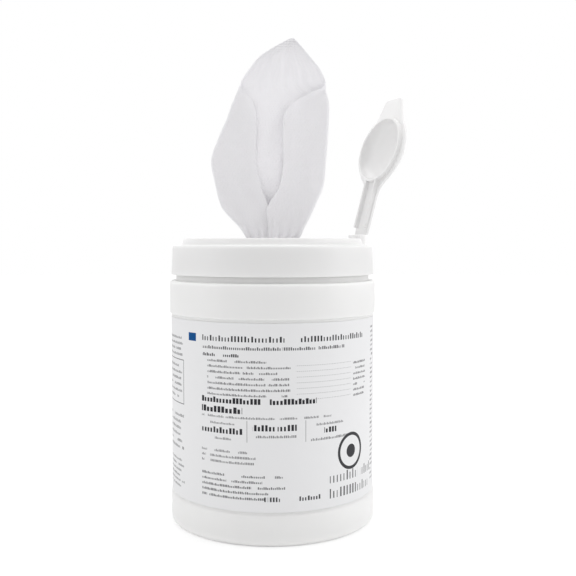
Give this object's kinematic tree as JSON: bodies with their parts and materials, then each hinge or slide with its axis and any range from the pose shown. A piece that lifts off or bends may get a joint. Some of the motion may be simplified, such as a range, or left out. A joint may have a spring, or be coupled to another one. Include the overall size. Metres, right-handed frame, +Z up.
{
  "type": "wipes canister",
  "caption": "Canister of pre-moistened wipes with a push-on lid, an open flip tab and a wipe drawn up through the orifice.",
  "frame": {"origin": "centre of the base, at the surface that the canister stands on", "axes": "+Z up the canister's axis, -Y out of the front of the label, +X to the right seen from the front"},
  "size_m": [0.1432, 0.122, 0.2844],
  "materials": {
    "canister": "satin blow-moulded white",
    "label": "satin printed film",
    "roll": "moist white nonwoven",
    "lid": "satin injection-moulded white",
    "flip_tab": "satin injection-moulded white",
    "wipe": "moist white nonwoven"
  },
  "bodies": {
    "canister": {"canister": "canister", "label": "label", "wipe_roll": "roll"},
    "lid": {"lid": "lid", "drawn_wipe": "wipe"},
    "flip_tab": {"flip_tab": "flip_tab"}
  },
  "joints": [
    {"name": "lid_lift", "type": "slide", "parent": "canister", "child": "lid", "axis": [0, 0, 1], "range_m": [0, 0.06]},
    {"name": "tab_hinge", "type": "hinge", "parent": "lid", "child": "flip_tab", "pos_m": [0.05459, 0.02317, 0.1689], "axis": [0.3907, -0.9205, 0], "range_deg": [-15, 105.5], "deforming": ["drawn_wipe"]}
  ]
}
